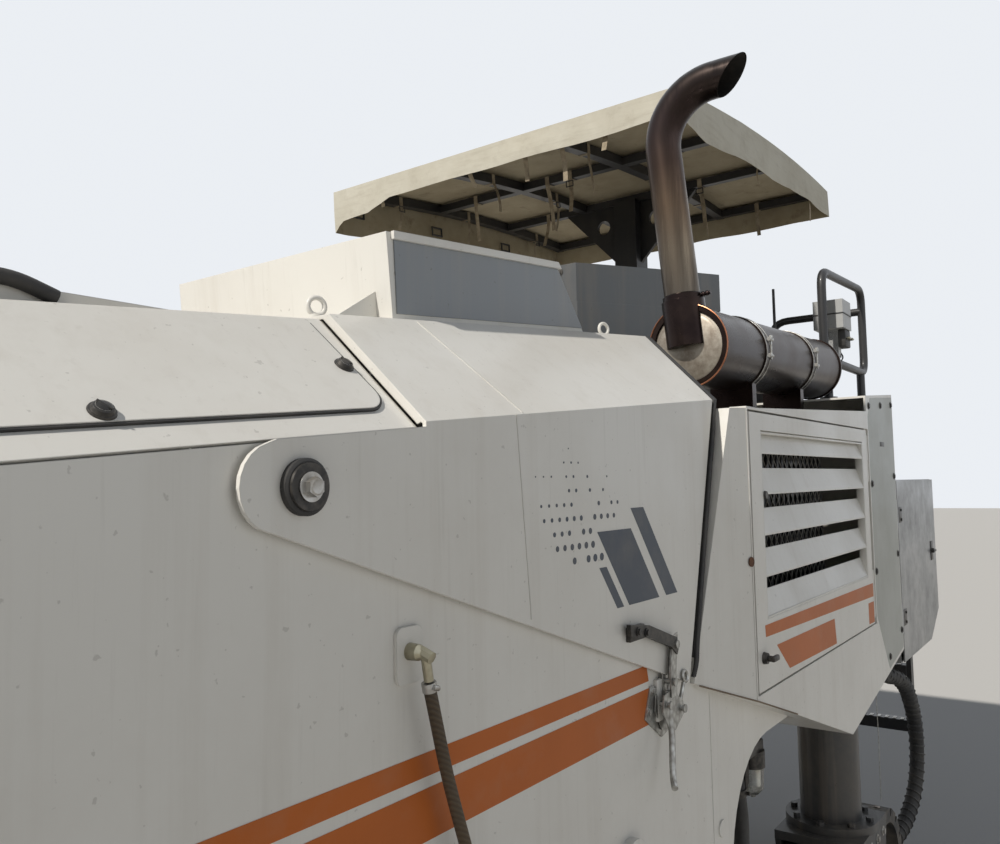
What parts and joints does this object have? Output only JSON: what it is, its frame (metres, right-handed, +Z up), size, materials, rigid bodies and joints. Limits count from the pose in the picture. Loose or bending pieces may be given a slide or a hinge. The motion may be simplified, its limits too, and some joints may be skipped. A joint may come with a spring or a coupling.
{
  "type": "cold planer milling machine",
  "caption": "Compact front-loading cold planer on four steered crawlers with a milling drum, tilting hood, louvred radiator door, canopy and slewing discharge conveyor",
  "frame": {"origin": "On the ground, under the middle of the machine's length and width over all", "axes": "+X forward, towards the discharge conveyor's tip; +Y to the machine's left; +Z up"},
  "size_m": [11.5135, 2.5, 3.7521],
  "materials": {
    "white_paint": "semi-gloss white paint, dusty and slightly marked",
    "grey_paint": "satin dark grey paint",
    "black_metal": "satin black paint",
    "bare_steel": "pale aluminised steel, dull and rough",
    "heat_steel": "steel tinted brown and gold by heat",
    "chrome_rod": "polished cylinder rod",
    "cast_metal": "worn drum steel",
    "aluminium_sheet": "plain mill-finish sheet",
    "dark_rubber": "dusty black rubber",
    "black_rubber_hose": "spiral-wrapped hose",
    "braided_hose": "brown braided sleeve",
    "dark_plastic": "textured black plastic",
    "canvas": "coated tarpaulin, pale outside and stained beige inside"
  },
  "bodies": {
    "chassis": {"main_frame": "white_paint", "lashing_lugs": "white_paint", "hood_pivots": "dark_rubber", "front_cover": "white_paint", "inspection_cover": "white_paint", "engine_block": "grey_paint", "hood_latch": "dark_plastic", "hood_seal": "dark_rubber", "radiator_housing": "white_paint", "radiator_core": "black_metal", "rear_panel": "aluminium_sheet", "tool_box": "aluminium_sheet", "muffler": "bare_steel", "exhaust_pipe": "heat_steel", "right_tank": "white_paint", "platform": "black_metal", "console": "grey_paint", "seats": "dark_plastic", "handrails": "black_metal", "ladder": "aluminium_sheet", "canopy_post": "black_metal", "drum_housing": "white_paint", "side_plates": "white_paint", "primary_conveyor": "grey_paint", "side_hose": "braided_hose", "leg_hose": "black_rubber_hose", "work_lamps": "dark_plastic"},
    "hood": {"hood_shell": "white_paint", "intake_box": "white_paint"},
    "radiator_leaf": {"radiator_door": "white_paint"},
    "tool_box_leaf": {"tool_box_door": "aluminium_sheet"},
    "canopy": {"canopy_frame": "black_metal", "canopy_cover": "canvas"},
    "scraper_board": {"scraper": "black_metal"},
    "drum": {"milling_drum": "cast_metal"},
    "crawler_front_left": {"leg_front_left": "grey_paint", "track_front_left": "dark_rubber"},
    "crawler_front_right": {"leg_front_right": "grey_paint", "track_front_right": "dark_rubber"},
    "crawler_rear_left": {"leg_rear_left": "grey_paint", "track_rear_left": "dark_rubber"},
    "crawler_rear_right": {"leg_rear_right": "grey_paint", "track_rear_right": "dark_rubber"},
    "slewing_bracket": {"slew_bracket": "grey_paint"},
    "discharge_boom": {"boom": "white_paint", "boom_belt": "dark_rubber"},
    "cylinder_barrel": {"luff_barrel": "bare_steel"},
    "cylinder_rod": {"luff_rod": "chrome_rod"}
  },
  "joints": [
    {"name": "hood_tilt", "type": "hinge", "parent": "chassis", "child": "hood", "pos_m": [-1.25161, 0, 2.05], "axis": [0, 1, 0], "range_deg": [0, 45]},
    {"name": "radiator_door_hinge", "type": "hinge", "parent": "chassis", "child": "radiator_leaf", "pos_m": [-4.20161, 1.239, 1.85], "axis": [0, 0, 1], "range_deg": [0, 95]},
    {"name": "tool_box_door_hinge", "type": "hinge", "parent": "chassis", "child": "tool_box_leaf", "pos_m": [-4.73761, 1.24, 1.6], "axis": [0, 0, -1], "range_deg": [0, 90]},
    {"name": "canopy_lift", "type": "slide", "parent": "chassis", "child": "canopy", "axis": [0, 0, 1], "range_m": [-0.5, 0]},
    {"name": "scraper_lift", "type": "slide", "parent": "chassis", "child": "scraper_board", "axis": [0, 0, 1], "range_m": [0, 0.25]},
    {"name": "drum_spin", "type": "hinge", "parent": "chassis", "child": "drum", "pos_m": [-2.08161, -0.5, 0.6], "axis": [0, 1, 0], "continuous": true},
    {"name": "steer_front_left", "type": "hinge", "parent": "chassis", "child": "crawler_front_left", "pos_m": [-0.63161, 1.03, 1], "axis": [0, 0, 1], "range_deg": [-20, 20]},
    {"name": "steer_front_right", "type": "hinge", "parent": "chassis", "child": "crawler_front_right", "pos_m": [-0.63161, -1.03, 1], "axis": [0, 0, 1], "range_deg": [-20, 20]},
    {"name": "steer_rear_left", "type": "hinge", "parent": "chassis", "child": "crawler_rear_left", "pos_m": [-4.23161, 1.03, 1], "axis": [0, 0, 1], "range_deg": [-15, 15]},
    {"name": "steer_rear_right", "type": "hinge", "parent": "chassis", "child": "crawler_rear_right", "pos_m": [-4.23161, -1.03, 1], "axis": [0, 0, 1], "range_deg": [-15, 15]},
    {"name": "conveyor_slew", "type": "hinge", "parent": "chassis", "child": "slewing_bracket", "pos_m": [0.47839, -0.25, 0.8], "axis": [0, 0, 1], "range_deg": [-45, 45]},
    {"name": "conveyor_luff", "type": "hinge", "parent": "slewing_bracket", "child": "discharge_boom", "pos_m": [0.47839, -0.25, 1.15], "axis": [0, -1, 0], "range_deg": [-10, 12]},
    {"name": "luff_barrel_tilt", "type": "hinge", "parent": "slewing_bracket", "child": "cylinder_barrel", "pos_m": [0.77839, -0.25, 0.73], "axis": [0, -1, 0], "range_deg": [-12, 14]},
    {"name": "luff_rod_stroke", "type": "slide", "parent": "cylinder_barrel", "child": "cylinder_rod", "axis": [0.839, 0, 0.5441], "range_m": [-0.1, 0.12]}
  ],
  "couplings": [
    {"joint": "steer_front_right", "follows": "steer_front_left", "ratio": 1},
    {"joint": "steer_rear_right", "follows": "steer_rear_left", "ratio": 1},
    {"joint": "luff_barrel_tilt", "follows": "conveyor_luff", "ratio": 1.0123},
    {"joint": "luff_rod_stroke", "follows": "conveyor_luff", "m_per_rad": 0.514}
  ]
}
